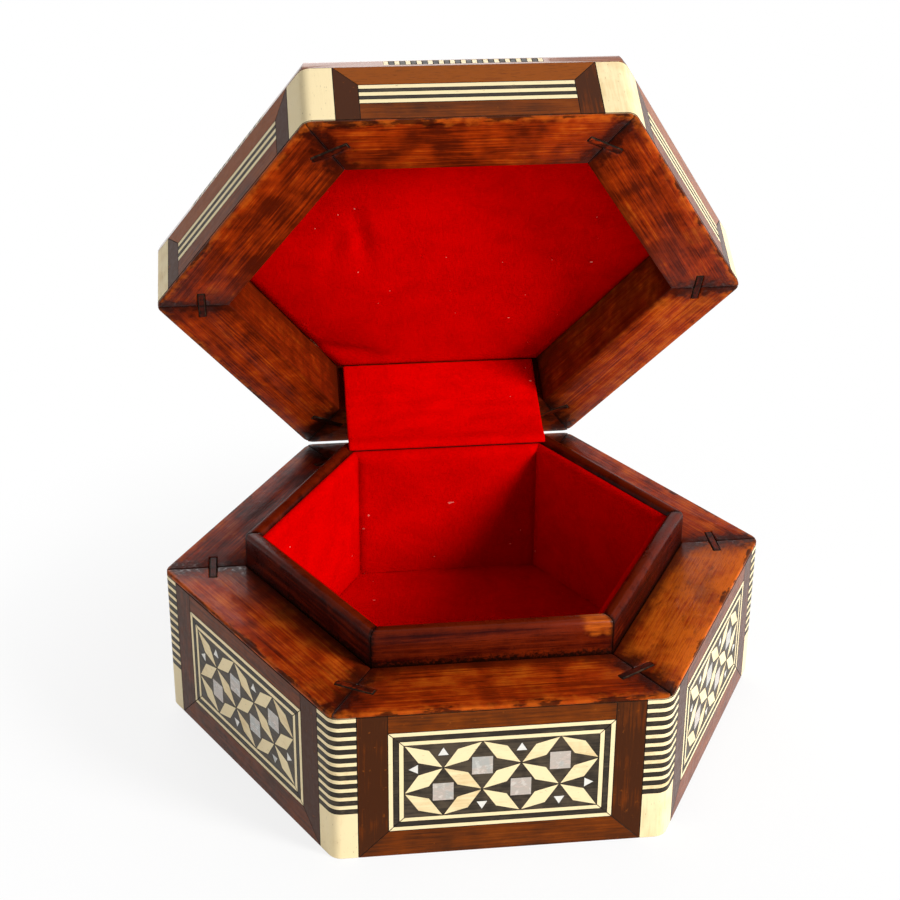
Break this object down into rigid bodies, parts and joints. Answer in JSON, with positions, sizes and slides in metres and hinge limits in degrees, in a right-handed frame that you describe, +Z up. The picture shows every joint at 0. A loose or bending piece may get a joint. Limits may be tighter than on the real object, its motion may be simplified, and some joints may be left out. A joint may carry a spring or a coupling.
{
  "type": "inlaid wooden box",
  "caption": "Six-sided wooden trinket box with bone, ebony and pearl inlay, a velvet-lined well with a raised collar, and a hinged lid standing open.",
  "frame": {"origin": "centre of the box's underside", "axes": "+Z up, front side faces -Y, hinge along X at the back"},
  "size_m": [0.139, 0.1376, 0.1498],
  "materials": {
    "stained_wood": "red-brown stain under gloss varnish",
    "dark_stained_wood": "dark stain under gloss varnish",
    "plain_wood": "planed, unstained",
    "walnut_veneer": "satin varnish",
    "bone": "polished bone",
    "ebony": "satin varnish",
    "mother_of_pearl": "polished nacre",
    "red_velvet": "cut pile velvet",
    "hinge_brass": "dull brass"
  },
  "bodies": {
    "base": {"base_bone_lines": "bone", "base_bone_lozenges": "bone", "base_corner_keys": "dark_stained_wood", "base_ebony_ground": "ebony", "base_ebony_lines": "ebony", "base_foot_rails": "walnut_veneer", "base_hinge_leaves": "hinge_brass", "base_hinge_screws": "hinge_brass", "base_pearl_tiles": "mother_of_pearl", "base_post_bone_bands": "bone", "base_post_ebony_bands": "ebony", "base_post_feet": "bone", "base_rim_rails": "walnut_veneer", "base_stiles": "walnut_veneer", "base_wall_back": "stained_wood", "base_wall_back_left": "stained_wood", "base_wall_back_right": "stained_wood", "base_wall_front": "stained_wood", "base_wall_front_left": "stained_wood", "base_wall_front_right": "stained_wood", "bottom_board": "plain_wood", "collar_back": "dark_stained_wood", "collar_back_left": "dark_stained_wood", "collar_back_right": "dark_stained_wood", "collar_front": "dark_stained_wood", "collar_front_left": "dark_stained_wood", "collar_front_right": "dark_stained_wood", "hinge_pins": "hinge_brass", "hinge_strap": "red_velvet", "well_floor_velvet": "red_velvet", "well_linings": "red_velvet"},
    "lid": {"lid_bone_lines": "bone", "lid_corner_keys": "dark_stained_wood", "lid_ebony_lines": "ebony", "lid_edge_bands": "walnut_veneer", "lid_edge_bone_dashes": "bone", "lid_edge_ebony_dashes": "ebony", "lid_hinge_leaves": "hinge_brass", "lid_hinge_screws": "hinge_brass", "lid_posts": "bone", "lid_rim_rails": "walnut_veneer", "lid_stiles": "walnut_veneer", "lid_top_board": "plain_wood", "lid_top_bone_lines": "bone", "lid_top_bone_stars": "bone", "lid_top_border": "walnut_veneer", "lid_top_ebony_ground": "ebony", "lid_top_ebony_lines": "ebony", "lid_top_pearl": "mother_of_pearl", "lid_top_rails": "walnut_veneer", "lid_velvet_pad": "red_velvet", "lid_wall_back": "stained_wood", "lid_wall_back_left": "stained_wood", "lid_wall_back_right": "stained_wood", "lid_wall_front": "stained_wood", "lid_wall_front_left": "stained_wood", "lid_wall_front_right": "stained_wood"}
  },
  "joints": [
    {"name": "lid_hinge", "type": "hinge", "parent": "base", "child": "lid", "pos_m": [0, 0.06092, 0.03615], "axis": [-1, 0, 0], "range_deg": [-59.5, 35], "deforming": ["hinge_strap"]}
  ]
}
